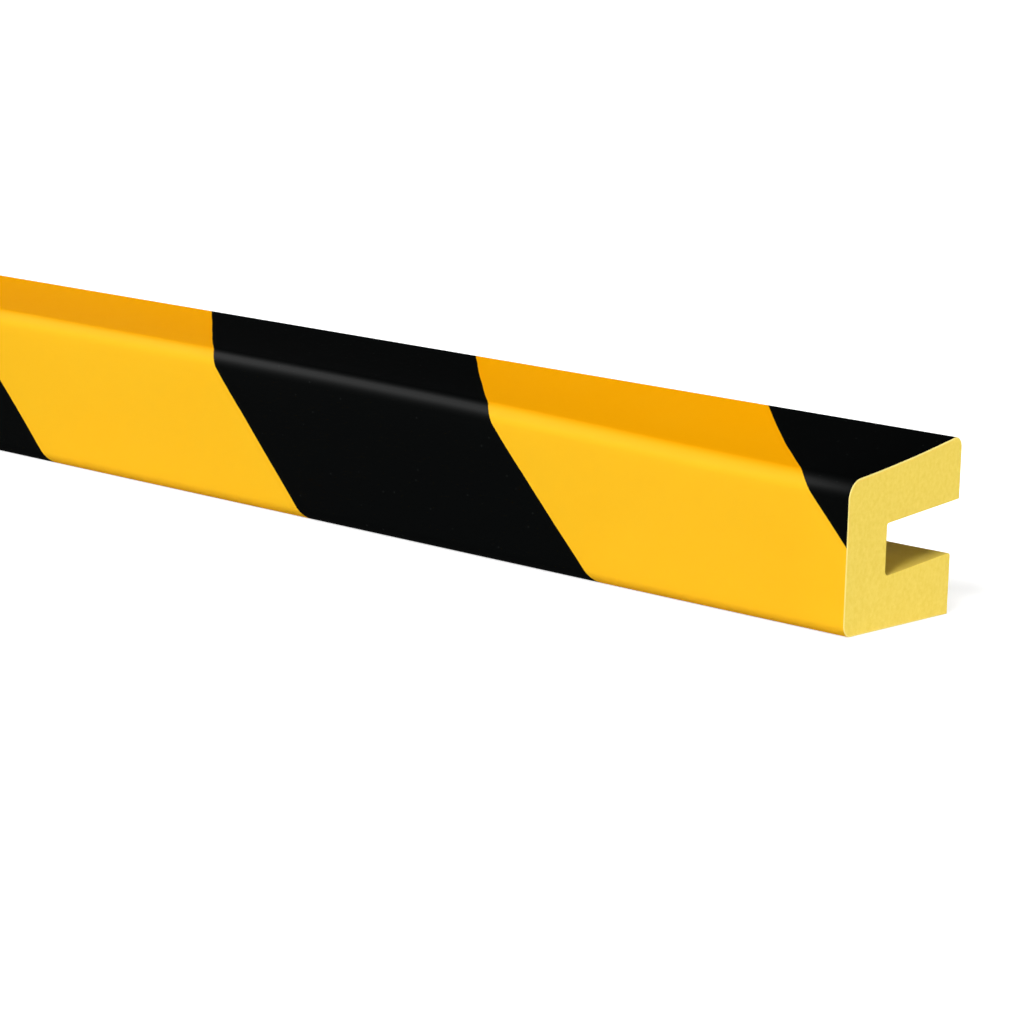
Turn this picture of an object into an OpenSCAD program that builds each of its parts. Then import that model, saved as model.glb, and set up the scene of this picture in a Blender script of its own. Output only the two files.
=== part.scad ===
// Push-on edge protector: a straight length of soft foam, moulded in one piece.
// Its slot grips the edge of a sheet or panel, and its thick front takes the knocks.
//
// +X runs along the length, +Y points out of the slot's mouth and +Z is up.
// The part lies on its lower flank, at Z = 0, as it rests on a bench.
// The origin is under the middle of the length and of the width it covers.

/* [Overall] */
// Length of the piece, cut square at both ends
length = 1000; // [100:10:1000]
// Depth from the front face to the end of the upper lip
depth = 30; // [24:0.5:40]
// Height of the front face above the middle plane of the slot
upper_h = 12; // [10:0.1:18]
// Height of the front face below the middle plane of the slot
lower_h = 11.1; // [10:0.1:18]

/* [Slot] */
// Width of the slot, the thickness of sheet that it grips
slot_w = 8; // [4:0.5:10]
// Solid foam between the front face and the floor of the slot
web = 10.4; // [6:0.1:14]
// How much shorter the lower lip is than the upper one
lip_step = 1.8; // [0:0.1:4]

/* [Flanks] */
// Angle at which the upper flank widens towards the mouth, in degrees
upper_flare = 3.5; // [0:0.1:8]
// Angle at which the lower flank widens towards the mouth, in degrees
lower_flare = 5; // [0:0.1:8]
// Depth of the shallow hollow along the upper flank
upper_hollow = 0.22; // [0.05:0.01:0.5]

/* [Rounded edges] */
// Radius of the front face's upper edge
front_top_r = 2.8; // [0.5:0.1:4]
// Radius of the front face's lower edge
front_bottom_r = 2; // [0.5:0.1:4]
// Radius along the back of the upper lip
rear_top_r = 1.8; // [0.4:0.1:2.5]
// Radius of the lower lip's lead-in at the mouth
lead_in_r = 0.5; // [0.2:0.1:2]
// Radius at the foot of the slot's floor
slot_foot_r = 0.9; // [0.2:0.1:1.5]
// Radius at the head of the slot's floor
slot_head_r = 0.4; // [0.2:0.1:1.5]

/* [Hidden] */
foam_yellow = "#fabf23";
// Segments of a rounded edge, and of the long arc that hollows the flank
edge_fn = 96;
hollow_fn = 1440;
// A rounding's arc stands this much proud of its two sides, so it always meets them
proud = 0.0005;

// The section is drawn with its first axis along the slot's middle plane, from
// the front face to the mouth, and its second axis up from that plane.
slot_half = slot_w / 2;
lower_depth = depth - lip_step;
upper_rear_h = upper_h + depth * tan(upper_flare);
lower_rear_h = lower_h + lower_depth * tan(lower_flare);

// A rounded edge takes no more than half of the thinnest wall beside it
upper_wall = min(web, upper_h - slot_half);
lower_wall = min(web, lower_h - slot_half);
function limited(r, wall) = min(r, wall / 2);

// Corners of the section, counter-clockwise: [place, radius]
corners = [
    [[0, -lower_h], limited(front_bottom_r, lower_wall)],
    [[lower_depth, -lower_rear_h], 0],
    [[lower_depth, -slot_half], limited(lead_in_r, lower_wall)],
    [[web, -slot_half], limited(slot_foot_r, slot_half)],
    [[web, slot_half], limited(slot_head_r, slot_half)],
    [[depth, slot_half], 0],
    [[depth, upper_rear_h], limited(rear_top_r, upper_wall)],
    [[0, upper_h], limited(front_top_r, upper_wall)],
];
upper_rear_corner = 6;
front_top_corner = 7;

// The place before and after a corner round the section, and the unit vectors to them
function place(i) = corners[(i + len(corners)) % len(corners)][0];
function radius(i) = corners[i][1];
function unit(v) = v / norm(v);
function back(i) = unit(place(i - 1) - place(i));
function ahead(i) = unit(place(i + 1) - place(i));
// Half the angle between a corner's two sides
function half_angle(i) = acos(back(i) * ahead(i)) / 2;
// From a corner to where its rounding starts on each side
function trim(i) = radius(i) / tan(half_angle(i));
function start_of(i) = place(i) + back(i) * trim(i);
function end_of(i) = place(i) + ahead(i) * trim(i);
// Centre of a corner's rounding, on the line that halves its angle
function centre(i) = place(i) + unit(back(i) + ahead(i)) * radius(i) / sin(half_angle(i));
// A corner juts out where the outline turns left, and is an inner one elsewhere
function juts_out(i) = cross(-back(i), ahead(i)) > 0;

// The part is tipped by this angle to lie on its lower flank
lie = lower_flare;
function tipped(p) = [p.x * cos(lie) - p.y * sin(lie), p.x * sin(lie) + p.y * cos(lie)];
front_reach = tipped(centre(front_top_corner)).x - radius(front_top_corner);
rear_reach = max(
    tipped([depth, slot_half]).x,
    tipped([lower_depth, -lower_rear_h]).x
);
middle = (front_reach + rear_reach) / 2;
underside = tipped([0, -lower_h]).y;

module corner_round(i) {
    translate(centre(i)) circle(r = radius(i) + proud, $fn = edge_fn);
}

// The outline with each corner cut straight between the ends of its rounding,
// then filled out or scooped to the true arc
module outline() {
    all = [0 : len(corners) - 1];
    difference() {
        union() {
            polygon([for (i = all) each radius(i) > 0 ? [start_of(i), end_of(i)] : [place(i)]]);
            for (i = all)
                if (radius(i) > 0 && juts_out(i))
                    corner_round(i);
        }
        for (i = all)
            if (radius(i) > 0 && !juts_out(i))
                corner_round(i);
    }
}

// The long shallow arc between the two rounded edges of the upper flank
module flank_hollow() {
    from = end_of(upper_rear_corner);
    to = start_of(front_top_corner);
    span = norm(to - from);
    r = span * span / (8 * upper_hollow) + upper_hollow / 2;
    along = unit(to - from);
    outward = [along.y, -along.x];
    translate((from + to) / 2 + outward * (r - upper_hollow))
        circle(r = r, $fn = hollow_fn);
}

module section() {
    difference() {
        outline();
        flank_hollow();
    }
}

// The whole piece: its section laid on the lower flank and run along the length
module profile() {
    color(foam_yellow)
        translate([-length / 2, 0, 0])
            rotate([90, 0, 90])
                linear_extrude(height = length)
                    translate([-middle, -underside])
                        rotate(lie)
                            section();
}

profile();
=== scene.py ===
from math import cos, hypot, pi, radians, sin, tan

import bmesh
import bpy
import numpy as np
from mathutils import Matrix, Vector


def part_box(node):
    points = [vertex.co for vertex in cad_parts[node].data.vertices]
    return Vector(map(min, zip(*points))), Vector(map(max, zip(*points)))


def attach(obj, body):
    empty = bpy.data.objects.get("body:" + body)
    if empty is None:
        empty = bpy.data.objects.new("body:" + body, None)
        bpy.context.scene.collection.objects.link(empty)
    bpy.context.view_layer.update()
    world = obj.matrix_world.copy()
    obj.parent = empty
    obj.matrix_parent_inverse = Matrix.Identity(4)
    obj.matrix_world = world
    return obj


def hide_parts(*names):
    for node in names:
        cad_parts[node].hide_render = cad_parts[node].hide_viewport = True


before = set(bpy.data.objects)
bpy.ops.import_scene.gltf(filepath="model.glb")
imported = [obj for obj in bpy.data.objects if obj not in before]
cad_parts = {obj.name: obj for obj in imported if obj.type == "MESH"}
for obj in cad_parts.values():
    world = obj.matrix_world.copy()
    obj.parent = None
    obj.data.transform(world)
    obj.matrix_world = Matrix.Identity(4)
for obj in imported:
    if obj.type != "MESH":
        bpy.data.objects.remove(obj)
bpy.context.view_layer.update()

# The whole edge protector: one straight length of soft polyurethane foam, moulded in a
# C-shaped section, coated in the mould with yellow and black stripes on its front and
# flanks, and sawn off at both ends, where the pale foam shows.
MM = 0.001
length = 1000 * MM
depth = 30 * MM
upper_h, lower_h = 12 * MM, 11.1 * MM
slot_w, web, lip_step = 8 * MM, 10.4 * MM, 1.8 * MM
upper_flare, lower_flare = radians(3.5), radians(5)
upper_hollow = 0.22 * MM
front_top_r, front_bottom_r, rear_top_r = 2.8 * MM, 2 * MM, 1.8 * MM
lead_in_r, slot_foot_r, slot_head_r = 0.5 * MM, 0.9 * MM, 0.4 * MM
lower_depth = depth - lip_step
upper_rear_h = upper_h + depth * tan(upper_flare)
# Points nearer to each other than a hair are taken as one place.
hair = 0.01 * MM


def pick(kind, test):
    """Selects only those vertices, edges or faces of the piece being edited that pass a test."""
    mesh = bpy.context.edit_object.data
    bpy.ops.mesh.select_mode(type=kind)
    bpy.ops.mesh.select_all(action="DESELECT")
    shape = bmesh.from_edit_mesh(mesh)
    for part in {"VERT": shape.verts, "EDGE": shape.edges, "FACE": shape.faces}[kind]:
        if test(part):
            part.select_set(True)
    shape.select_flush_mode()
    bmesh.update_edit_mesh(mesh)


def cut(at, normal, clear=False):
    """Cuts the whole section with a plane, and drops what is outside the plane if asked."""
    bpy.ops.mesh.select_all(action="SELECT")
    bpy.ops.mesh.bisect(
        plane_co=(0, *at), plane_no=(0, *normal), clear_outer=clear, threshold=1e-7)


def open_air(face):
    """Whether a face of the plate lies in the slot, or behind the shorter lower lip."""
    at = face.calc_center_median()
    return (at.y > web and abs(at.z) < slot_w / 2) or (at.y > lower_depth and at.z < 0)


# The section starts as a flat plate standing on the left end's plane, Y along the slot
# from the front face and Z up from the slot's middle.
bpy.ops.object.select_all(action="DESELECT")
bpy.ops.mesh.primitive_plane_add(
    size=1, location=(-length / 2, depth / 2, 0), rotation=(0, radians(90), 0))
profile = bpy.context.object
profile.name = profile.data.name = "edge_protector"
profile.scale = (2 * upper_rear_h, depth, 1)
bpy.ops.object.transform_apply(location=True, rotation=True, scale=True)
bpy.ops.object.mode_set(mode="EDIT")
cut((0, upper_h), (-sin(upper_flare), cos(upper_flare)), clear=True)
cut((0, -lower_h), (-sin(lower_flare), -cos(lower_flare)), clear=True)
cut((0, slot_w / 2), (0, 1))
cut((0, -slot_w / 2), (0, 1))
cut((web, 0), (1, 0))
cut((lower_depth, 0), (1, 0))
pick("FACE", open_air)
bpy.ops.mesh.delete(type="FACE")
bpy.ops.mesh.select_all(action="SELECT")
bpy.ops.mesh.dissolve_limited(angle_limit=radians(0.5))

# Each corner is rounded to its own radius. The turn is the angle that the outline turns
# through there, and with the radius it gives how far from the corner the arc starts.
for y, z, r, turn, steps in (
    (0, upper_h, front_top_r, radians(90) - upper_flare, 24),
    (0, -lower_h, front_bottom_r, radians(90) - lower_flare, 16),
    (depth, upper_rear_h, rear_top_r, radians(90) + upper_flare, 16),
    (lower_depth, -slot_w / 2, lead_in_r, radians(90), 8),
    (web, -slot_w / 2, slot_foot_r, radians(90), 8),
    (web, slot_w / 2, slot_head_r, radians(90), 6),
):
    pick("VERT", lambda v: hypot(v.co.y - y, v.co.z - z) < hair)
    bpy.ops.mesh.bevel(
        offset=r * tan(turn / 2), offset_type="OFFSET", segments=steps, profile=0.5,
        affect="VERTICES")

# The flat front, the lower flank and the slot's two walls are divided into rows.
flat_rows, hollow_rows = 12, 32
pick("EDGE", lambda e: e.calc_length() > upper_h and max(v.co.z for v in e.verts) < upper_h)
bpy.ops.mesh.subdivide(number_cuts=flat_rows - 1)

# The upper flank is divided too, and drawn in a little between its two roundings.
pick("EDGE", lambda e: e.calc_length() > depth / 2 and min(v.co.z for v in e.verts) > slot_w)
bpy.ops.mesh.subdivide(number_cuts=hollow_rows - 1)
bpy.ops.mesh.select_mode(type="VERT")
shape = bmesh.from_edit_mesh(profile.data)
flank_points = sorted((v for v in shape.verts if v.select), key=lambda v: v.co.y)
middle = flank_points[len(flank_points) // 2]
half_span = (flank_points[-1].co - flank_points[0].co).length / 2
bpy.ops.mesh.hide(unselected=True)
pick("VERT", lambda v: not v.hide and v.index == middle.index)
bpy.ops.transform.translate(
    value=(0, upper_hollow * sin(upper_flare), -upper_hollow * cos(upper_flare)),
    orient_type="GLOBAL", use_proportional_edit=True,
    proportional_edit_falloff="INVERSE_SQUARE", proportional_size=half_span)
bpy.ops.mesh.reveal(select=False)
bpy.ops.object.mode_set(mode="OBJECT")

# How far round the skin each corner point lies is kept for the stripes: zero in the
# middle of the front's upper edge, rising down the front and falling back over the top.
outline = [profile.data.vertices[i] for i in profile.data.polygons[0].vertices]
start = min(outline, key=lambda v: abs(v.co.y - (upper_h - v.co.z)) + v.co.y).index
order = [v.index for v in outline]
order = order[order.index(start):] + order[:order.index(start)]
if profile.data.vertices[order[1]].co.z > profile.data.vertices[order[0]].co.z:
    order = order[:1] + order[:0:-1]
places = [profile.data.vertices[i].co.copy() for i in order]
run = [0.0]
for a, b in zip(places, places[1:] + places[:1]):
    run.append(run[-1] + (b - a).length)
round_skin = profile.data.attributes.new("round_skin", "FLOAT", "POINT")
for i, s in zip(order, run):
    round_skin.data[i].value = s if s < run[-1] / 2 else s - run[-1]
# The coat ends where the roundings meet the back of the upper lip and of the lower lip.
skin_start = next(
    s for p, s in zip(places, run) if abs(p.y - depth) < hair / 10 and p.z > slot_w) - run[-1]
skin_end = next(s for p, s in zip(places, run) if abs(p.y - lower_depth) < hair / 10)

# The section is drawn out to the full length. The saw leaves a fine soft arris round each
# cut end, with the dense skin of the foam as a paler rim just inside it. The sides are
# then divided into short lengths. Only the two end faces have more corners than 20.
arris, rim_wide, short_lengths, end_corners = 0.08 * MM, 0.13 * MM, 100, 20
bpy.ops.object.mode_set(mode="EDIT")
bpy.ops.mesh.select_all(action="SELECT")
bpy.ops.mesh.extrude_region_move(TRANSFORM_OT_translate={"value": (length, 0, 0)})
bpy.ops.mesh.select_all(action="SELECT")
bpy.ops.mesh.normals_make_consistent(inside=False)
pick("EDGE", lambda e: abs(abs(e.verts[0].co.x + e.verts[1].co.x) - length) < hair)
bpy.ops.mesh.bevel(
    offset=arris, offset_type="OFFSET", segments=2, profile=0.5, affect="EDGES")
pick("FACE", lambda f: len(f.verts) > end_corners)
bpy.ops.mesh.inset(thickness=rim_wide, use_even_offset=True)
pick("EDGE", lambda e: e.calc_length() > 0.9 * length)
bpy.ops.mesh.subdivide(number_cuts=short_lengths - 1)
bpy.ops.object.mode_set(mode="OBJECT")

# The stripes wind round the skin at a slant of about 45 degrees. A stripe edge has a
# number, which is even where black starts and odd where yellow starts, and the distance
# along the length where it was masked in the middle of the front's upper edge. It leans
# along by the next two figures for each millimetre round the skin, over the top and down
# the front, and its last figure is how far the mask slipped back where it turned down
# over the edge. Further along the edges follow evenly, and lean as those do on average.
stripe_step, turn_from, turn_down = 60 * MM, -1 * MM, 3 * MM
laid = {
    -1: (309.55, 0.95, 1.03, 0.88),
    0: (372.6, 0.995, 0.976, 0.97),
    1: (432.47, 0.923, 0.995, 0.89),
    2: (491.55, 0.918, 0.922, 0.05),
}
usual_lean = (0.95, 0.96, 0.5)
numbers = range(-18, 6)
edges = []
for n in numbers:
    nearest = min(max(n, min(laid)), max(laid))
    over, down, slip = laid[n][1:] if n in laid else usual_lean
    at = laid[nearest][0] * MM + (n - nearest) * stripe_step
    edges.append((at, over, down, slip * MM))
runs = np.array([d.value for d in profile.data.attributes["round_skin"].data])
stripe_count = profile.data.attributes.new("stripe_count", "FLOAT", "POINT")
for v, s in zip(profile.data.vertices, runs):
    turned = min(max((s - turn_from) / turn_down, 0), 1)
    crossings = [
        at + s * (over if s < 0 else down) - slip * turned for at, over, down, slip in edges]
    stripe_count.data[v.index].value = np.interp(v.co.x, crossings, numbers)

# The soft piece doesn't lie quite straight. From the visible end its upper front edge
# rises in one long low wave, which is half up at one distance from that end, holds to a
# second and then sinks again. It fades out down the front and across the flank.
crest, half_up, steep = 2.97 * MM, 58 * MM, 2.4
holds_to, sinks_over, flank_reach = 250 * MM, 430 * MM, 28 * MM
# Along the length the upper flank is drawn in deeper than at the cut ends, and the
# front's upper edge is a trace softer. Both grow to the full within a short way.
deeper, softer, grows_over = 0.45 * MM, 0.25 * MM, 18 * MM
soft_down, soft_over = 6 * MM, 10 * MM
# The saw cut at the visible end is out of square by this much at the bottom, and takes
# the arris and the rim, which lie within the end's reach, along.
off_square, end_reach = 0.35 * MM, 1 * MM
flank_front = -front_top_r * (pi / 2 - upper_flare) / 2
flank_rear = skin_start + rear_top_r * (pi / 2 + upper_flare)
for v, s in zip(profile.data.vertices, runs):
    back = max(length / 2 - v.co.x, hair)
    if skin_start - hair < s < skin_end + hair:
        sunk = min(max((back - holds_to) / sinks_over, 0), 1)
        wave = crest / (1 + (half_up / back) ** steep) * (1 + cos(pi * sunk)) / 2
        over_flank = max(0.0, 1 - v.co.y / flank_reach) ** 1.5
        down_front = min(1.0, max(0.0, (v.co.z + lower_h) / (upper_h + lower_h)))
        grown = min(1, back / grows_over, (length - back) / grows_over)
        across = (2 * s - flank_front - flank_rear) / (flank_front - flank_rear)
        hollow = deeper * max(0.0, 1 - across**2) * grown * (1 - wave / crest)
        from_edge = s / soft_down if s > 0 else -s / soft_over
        up = wave * over_flank * down_front - hollow
        # Up is square to the lower flank, on which the piece will lie.
        v.co.y += up * sin(lower_flare) + softer * max(0.0, 1 - from_edge) ** 2 * grown
        v.co.z += up * cos(lower_flare)
    if back < end_reach:
        v.co.x -= off_square * (upper_rear_h - v.co.z) / (upper_rear_h + lower_h)


def linear(code):
    """The linear colour of an sRGB hex code."""
    parts = [int(code[i : i + 2], 16) / 255 for i in (1, 3, 5)]
    return *[c / 12.92 if c <= 0.04045 else ((c + 0.055) / 1.055) ** 2.4 for c in parts], 1.0


def add(tree, kind, settings=None, **links):
    """A node of that kind, with its settings, and with its inputs linked or set. An input's
    name has _ for each space, and a number after a second _ where several share a name."""
    made = tree.nodes.new(kind)
    for name, value in (settings or {}).items():
        setattr(made, name, value)
    for name, value in links.items():
        name, _, which = name.partition("__")
        name = name.replace("_", " ")
        found = [s for s in made.inputs if s.name == name and s.enabled]
        socket = found[int(which or 0)]
        if isinstance(value, bpy.types.NodeSocket):
            tree.links.new(value, socket)
        else:
            socket.default_value = value
    return made


def new_material(name):
    made = bpy.data.materials.new(name)
    made.use_nodes = True
    made.node_tree.nodes.clear()
    return made


# Polyurethane in-mould coat: a thin elastic paint sprayed on the mould, satin and almost
# without texture, black over yellow. It gives flat bright yellow, deep black and one soft
# highlight along the upper edge, with a little dust that only the black shows.
coat = new_material("polyurethane in-mould coat")
t = coat.node_tree
here = add(t, "ShaderNodeTexCoord").outputs["Object"]
count = add(t, "ShaderNodeAttribute", {"attribute_name": "stripe_count"}).outputs["Fac"]
# The masked edge wanders by about a fifth of a millimetre over a few centimetres.
strays = 0.24 * MM / stripe_step
wander = add(t, "ShaderNodeTexNoise", Vector=here, Scale=1 / (18 * MM), Detail=2.0,
             Roughness=0.45).outputs["Fac"]
shift = add(t, "ShaderNodeMath", {"operation": "MULTIPLY_ADD"}, Value=wander,
            Value__1=2 * strays, Value__2=-strays)
place = add(t, "ShaderNodeMath", {"operation": "ADD"}, Value=count, Value__1=shift.outputs[0])
half_turns = add(t, "ShaderNodeMath", {"operation": "MULTIPLY"}, Value=place.outputs[0],
                 Value__1=pi)
band = add(t, "ShaderNodeMath", {"operation": "SINE"}, Value=half_turns.outputs[0])
# The edge itself is soft over a fifth of a millimetre, this much of the band's swing to
# each side.
fades = 0.005
yellow_here = add(t, "ShaderNodeMapRange", {"interpolation_type": "SMOOTHSTEP"},
                  Value=band.outputs[0], From_Min=fades, From_Max=-fades).outputs["Result"]
# The yellow is painted a trace paler on the front and a deeper orange on the flanks: painted
# shade for the flanks, which face away from the main light. It also wavers a little in patches
# of a centimetre or two.
flank_shade_share, patch_share = 0.9, 0.2
front_middle = (upper_h + lower_h) / 2
patches = add(t, "ShaderNodeTexNoise", Vector=here, Scale=1 / (15 * MM),
              Detail=3.0).outputs["Fac"]
skin_place = add(t, "ShaderNodeAttribute", {"attribute_name": "round_skin"}).outputs["Fac"]
offset = add(t, "ShaderNodeMath", {"operation": "SUBTRACT"}, Value=skin_place,
             Value__1=front_middle)
from_middle = add(t, "ShaderNodeMath", {"operation": "ABSOLUTE"}, Value=offset.outputs[0])
flank = add(t, "ShaderNodeMapRange", Value=from_middle.outputs[0],
            From_Min=front_middle - 1 * MM, From_Max=front_middle + 2 * MM,
            To_Max=flank_shade_share).outputs["Result"]
shade_and_patches = add(t, "ShaderNodeMath", {"operation": "MULTIPLY_ADD"}, Value=patches,
           Value__1=patch_share, Value__2=flank)
yellow = add(t, "ShaderNodeMix", {"data_type": "RGBA"}, Factor=shade_and_patches.outputs[0],
             A=linear("#fbc326"), B=linear("#ffac00"))
# Dust: faint specks of a third of a millimetre, one in every 5 mm or so.
dust_cell = add(t, "ShaderNodeTexVoronoi", Vector=here, Scale=1 / (2.4 * MM), Randomness=1.0)
dust = add(t, "ShaderNodeMapRange", Value=dust_cell.outputs["Distance"], From_Min=0.04,
           From_Max=0.09, To_Min=1.0, To_Max=0.0)
black = add(t, "ShaderNodeMix", {"data_type": "RGBA"}, Factor=dust.outputs["Result"],
            A=linear("#020303"), B=linear("#161817"))
paint = add(t, "ShaderNodeMix", {"data_type": "RGBA"}, Factor=yellow_here,
            A=black.outputs[2], B=yellow.outputs[2])
# The skin copies the mould's fine grain, 0.8 mm across and a few thousandths deep, and
# swells a little over a few centimetres, as soft foam does. A noise keeps mostly between
# its low and its high, so those give a pattern its full range.
noise_low, noise_high = 0.3, 0.7
grain = add(t, "ShaderNodeTexNoise", Vector=here, Scale=1 / (0.8 * MM), Detail=2.0)
swell = add(t, "ShaderNodeTexNoise", Vector=here, Scale=1 / (30 * MM), Detail=1.0)
swelling = add(t, "ShaderNodeBump", Height=swell.outputs["Fac"], Distance=0.35 * MM,
               Strength=1.0)
relief = add(t, "ShaderNodeBump", Height=grain.outputs["Fac"], Distance=0.004 * MM,
             Strength=1.0, Normal=swelling.outputs["Normal"])
dull = add(t, "ShaderNodeMapRange", Value=grain.outputs["Fac"], From_Min=noise_low,
           From_Max=noise_high, To_Min=0.42, To_Max=0.5)
# All the gloss is that of the coat's clear surface, and the black has more of it.
gloss = add(t, "ShaderNodeMapRange", Value=yellow_here, To_Min=0.03, To_Max=0.013)
surface = add(t, "ShaderNodeBsdfPrincipled", Base_Color=paint.outputs[2],
              Roughness=dull.outputs["Result"], Specular_IOR_Level=0.0,
              Coat_Weight=gloss.outputs["Result"], Coat_Roughness=0.5,
              Normal=relief.outputs["Normal"], Coat_Normal=swelling.outputs["Normal"])
add(t, "ShaderNodeOutputMaterial", Surface=surface.outputs[0])

# Bare moulded foam: the same polyurethane where the mould was left unsprayed, in the slot and on
# the backs of the lips. It gives a matt yellow with a closed skin, faintly clouded in patches of
# 5 mm, and about a quarter darker than the sawn foam: partly the skin's own deeper tone and
# partly painted shade for the deep slot, which the backs of the lips share.
bare = new_material("moulded polyurethane foam skin")
t = bare.node_tree
here = add(t, "ShaderNodeTexCoord").outputs["Object"]
cloud = add(t, "ShaderNodeTexNoise", Vector=here, Scale=1 / (5 * MM), Detail=4.0,
            Roughness=0.55)
clouded = add(t, "ShaderNodeMapRange", Value=cloud.outputs["Fac"], From_Min=noise_low,
              From_Max=noise_high)
foam = add(t, "ShaderNodeMix", {"data_type": "RGBA"}, Factor=clouded.outputs["Result"],
           A=linear("#d2b746"), B=linear("#dac052"))
grain = add(t, "ShaderNodeTexNoise", Vector=here, Scale=1 / (0.5 * MM), Detail=3.0)
relief = add(t, "ShaderNodeBump", Height=grain.outputs["Fac"], Distance=0.02 * MM,
             Strength=1.0)
surface = add(t, "ShaderNodeBsdfPrincipled", Base_Color=foam.outputs[2], Roughness=0.8,
              Specular_IOR_Level=0.2, Normal=relief.outputs["Normal"])
add(t, "ShaderNodeOutputMaterial", Surface=surface.outputs[0])

# Sawn foam: the fine cells cut open at the two ends. It gives the same pale yellow, quite
# matt and mottled. The cells are drawn at 0.5 to 0.8 mm to show, coarser than the real
# 0.2 mm.
sawn = new_material("sawn polyurethane foam")
t = sawn.node_tree
here = add(t, "ShaderNodeTexCoord").outputs["Object"]
cells = add(t, "ShaderNodeTexNoise", Vector=here, Scale=1 / (0.8 * MM), Detail=4.0,
            Roughness=0.6)
mottle = add(t, "ShaderNodeMapRange", Value=cells.outputs["Fac"], From_Min=noise_low,
             From_Max=noise_high)
foam = add(t, "ShaderNodeMix", {"data_type": "RGBA"}, Factor=mottle.outputs["Result"],
           A=linear("#f2d458"), B=linear("#fade68"))
pits = add(t, "ShaderNodeTexVoronoi", Vector=here, Scale=1 / (0.5 * MM), Randomness=1.0)
relief = add(t, "ShaderNodeBump", Height=pits.outputs["Distance"], Distance=0.03 * MM,
             Strength=1.0)
surface = add(t, "ShaderNodeBsdfPrincipled", Base_Color=foam.outputs[2], Roughness=0.9,
              Specular_IOR_Level=0.1, Normal=relief.outputs["Normal"])
add(t, "ShaderNodeOutputMaterial", Surface=surface.outputs[0])

# The dense rim: the last fifth of a millimetre under the skin, where the foam's cells
# close up. It gives a thin cream line round each cut end.
rim = new_material("dense rim of sawn foam")
t = rim.node_tree
here = add(t, "ShaderNodeTexCoord").outputs["Object"]
cells = add(t, "ShaderNodeTexNoise", Vector=here, Scale=1 / (1.5 * MM), Detail=2.0)
foam = add(t, "ShaderNodeMix", {"data_type": "RGBA"}, Factor=cells.outputs["Fac"],
           A=linear("#f9e07a"), B=linear("#fcea92"))
surface = add(t, "ShaderNodeBsdfPrincipled", Base_Color=foam.outputs[2], Roughness=0.7,
              Specular_IOR_Level=0.2)
add(t, "ShaderNodeOutputMaterial", Surface=surface.outputs[0])

# The cut ends and the slot's arrises are sawn foam, the arrises and rims of the skin are
# rim, and the sides are coat or bare foam. A face that leans out by more than the figure
# here belongs to an end.
for material in (coat, bare, sawn, rim):
    profile.data.materials.append(material)
COAT, BARE, SAWN, RIM = range(4)
leans_out = 0.3
for face in profile.data.polygons:
    on_skin = all(skin_start - hair < runs[i] < skin_end + hair for i in face.vertices)
    at_end = abs(face.normal.x) > leans_out
    if len(face.vertices) > end_corners or (at_end and not on_skin):
        face.material_index = SAWN
    elif at_end:
        face.material_index = RIM
    else:
        face.material_index = COAT if on_skin else BARE

# It lies tipped on its lower flank, where the frame's part lies.
low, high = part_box("profile")
profile.rotation_euler = (lower_flare, 0, 0)
bpy.ops.object.transform_apply(location=False, rotation=True, scale=False)
spots = np.array([v.co for v in profile.data.vertices])
profile.location = (
    0, (low.y + high.y - spots[:, 1].max() - spots[:, 1].min()) / 2, low.z - spots[:, 2].min())
bpy.ops.object.transform_apply(location=True, rotation=False, scale=False)
bpy.ops.object.shade_smooth_by_angle(angle=radians(30))

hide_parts("profile")
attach(profile, "root")

# The studio floor: a broad sheet of matt white paper that the piece lies on. The camera
# and reflections see it white, a little less so near the piece, and it keeps the soft
# shadow.
just_below, sheet_size, near_white = 0.1 * MM, 60, 0.78
bpy.ops.object.select_all(action="DESELECT")
bpy.ops.mesh.primitive_plane_add(size=sheet_size, location=(0, 0, low.z - just_below))
floor = bpy.context.object
floor.name = "studio_floor"
paper = new_material("matt white paper")
t = paper.node_tree


def seen_rays(tree):
    """One for rays from the camera, reflections and clear materials, and none for light."""
    ray = add(tree, "ShaderNodeLightPath").outputs
    seen = add(tree, "ShaderNodeMath", {"operation": "MAXIMUM"},
               Value=ray["Is Camera Ray"], Value__1=ray["Is Glossy Ray"])
    return add(tree, "ShaderNodeMath", {"operation": "MAXIMUM"}, Value=seen.outputs[0],
               Value__1=ray["Is Transmission Ray"])


here = add(t, "ShaderNodeTexCoord").outputs["Object"]
far = add(t, "ShaderNodeVectorMath", {"operation": "LENGTH"}, Vector=here)
white = add(t, "ShaderNodeMapRange", Value=far.outputs["Value"], From_Min=0.5, From_Max=1.3,
            To_Min=near_white, To_Max=1.0)
lift = add(t, "ShaderNodeMath", {"operation": "MULTIPLY"}, Value=seen_rays(t).outputs[0],
           Value__1=white.outputs[0])
sheet = add(t, "ShaderNodeBsdfDiffuse", Color=(0.6, 0.6, 0.6, 1))
glow = add(t, "ShaderNodeEmission", Strength=lift.outputs[0])
both = add(t, "ShaderNodeAddShader", Shader=sheet.outputs[0], Shader__1=glow.outputs[0])
add(t, "ShaderNodeOutputMaterial", Surface=both.outputs[0])
floor.data.materials.append(paper)

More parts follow.
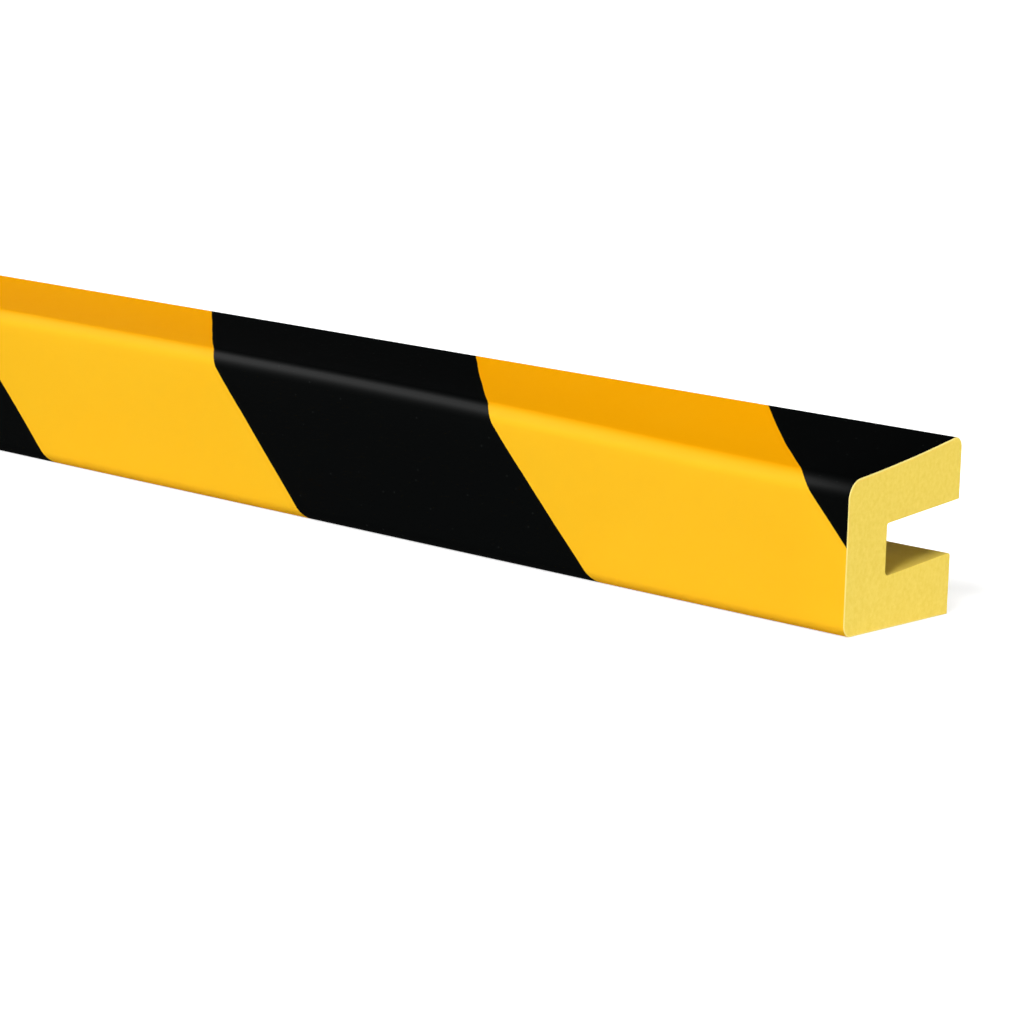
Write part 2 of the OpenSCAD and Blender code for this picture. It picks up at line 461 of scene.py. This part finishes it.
# The room: to the camera and in reflections it is white up to just above the horizon and
# dim overhead, where only the lamps show in the gloss. As light it is a dim even fill.
room = bpy.data.worlds.new("studio_room")
bpy.context.scene.world = room
room.use_nodes = True
t = room.node_tree
t.nodes.clear()
fill_level, overhead = 0.105, 0.05
towards = add(t, "ShaderNodeTexCoord").outputs["Generated"]
height = add(t, "ShaderNodeSeparateXYZ", Vector=towards).outputs["Z"]
wall = add(t, "ShaderNodeMapRange", Value=height, From_Min=0.12, From_Max=0.2, To_Min=1.0,
           To_Max=overhead)
level = add(t, "ShaderNodeMapRange", Value=seen_rays(t).outputs[0], To_Min=fill_level,
            To_Max=wall.outputs[0])
sky = add(t, "ShaderNodeBackground", Color=(1, 1, 1, 1), Strength=level.outputs[0])
add(t, "ShaderNodeOutputWorld", Surface=sky.outputs[0])

# The lamps: a softbox high in front as the main light, a low strip at the right for the
# cut end, and a weak softbox behind at the left that adds no gloss. A strip up on the left
# shows only in the gloss, as the highlight along the upper edge. Each is placed by its
# direction from the part of the piece in view, and its power is the level of light it
# gives there, times pi squared and its distance squared.
view_centre = Vector((400 * MM, 0, 15 * MM))
for name, azimuth, elevation, distance, wide, tall, lamp_level, lights, shines in (
    ("main_softbox", 12, 41, 3.0, 1.0, 1.0, 1.01, True, True),
    ("end_strip", 93, 2, 3.0, 1.0, 0.25, 0.5, True, True),
    ("gloss_strip", -54, 42, 2.0, 1.9, 0.6, 6.6, False, True),
    ("back_softbox", 230, 10, 3.0, 1.0, 1.0, 0.45, True, False),
):
    a, e = radians(azimuth), radians(elevation)
    to = Vector((sin(a) * cos(e), -cos(a) * cos(e), sin(e)))
    lamp = bpy.data.lights.new(name, "AREA")
    lamp.shape = "RECTANGLE"
    lamp.size, lamp.size_y = wide, tall
    lamp.energy = lamp_level * pi**2 * distance**2
    holder = bpy.data.objects.new(name, lamp)
    bpy.context.scene.collection.objects.link(holder)
    holder.location = view_centre + to * distance
    holder.rotation_euler = to.to_track_quat("Z", "Y").to_euler()
    holder.visible_camera = False
    holder.visible_diffuse, holder.visible_glossy = lights, shines

# The camera stands at the photograph's viewpoint, low in front and to the right of the
# visible end, and is turned slightly about its own line of sight.
azimuth, elevation, roll = radians(38.8006), radians(10.4227), radians(3.4486)
stands_at = Vector((736.633 * MM, -385.622 * MM, 96.279 * MM))
back = Vector((sin(azimuth) * cos(elevation), -cos(azimuth) * cos(elevation), sin(elevation)))
lens = bpy.data.cameras.new("camera")
lens.lens, lens.sensor_width = 109.89, 36
lens.clip_start, lens.clip_end = 0.01, 100
camera = bpy.data.objects.new("camera", lens)
bpy.context.scene.collection.objects.link(camera)
aim = back.to_track_quat("Z", "Y").to_matrix().to_4x4() @ Matrix.Rotation(roll, 4, "Z")
camera.matrix_world = Matrix.Translation(stands_at) @ aim
bpy.context.scene.camera = camera
bpy.context.scene.view_settings.view_transform = "Standard"
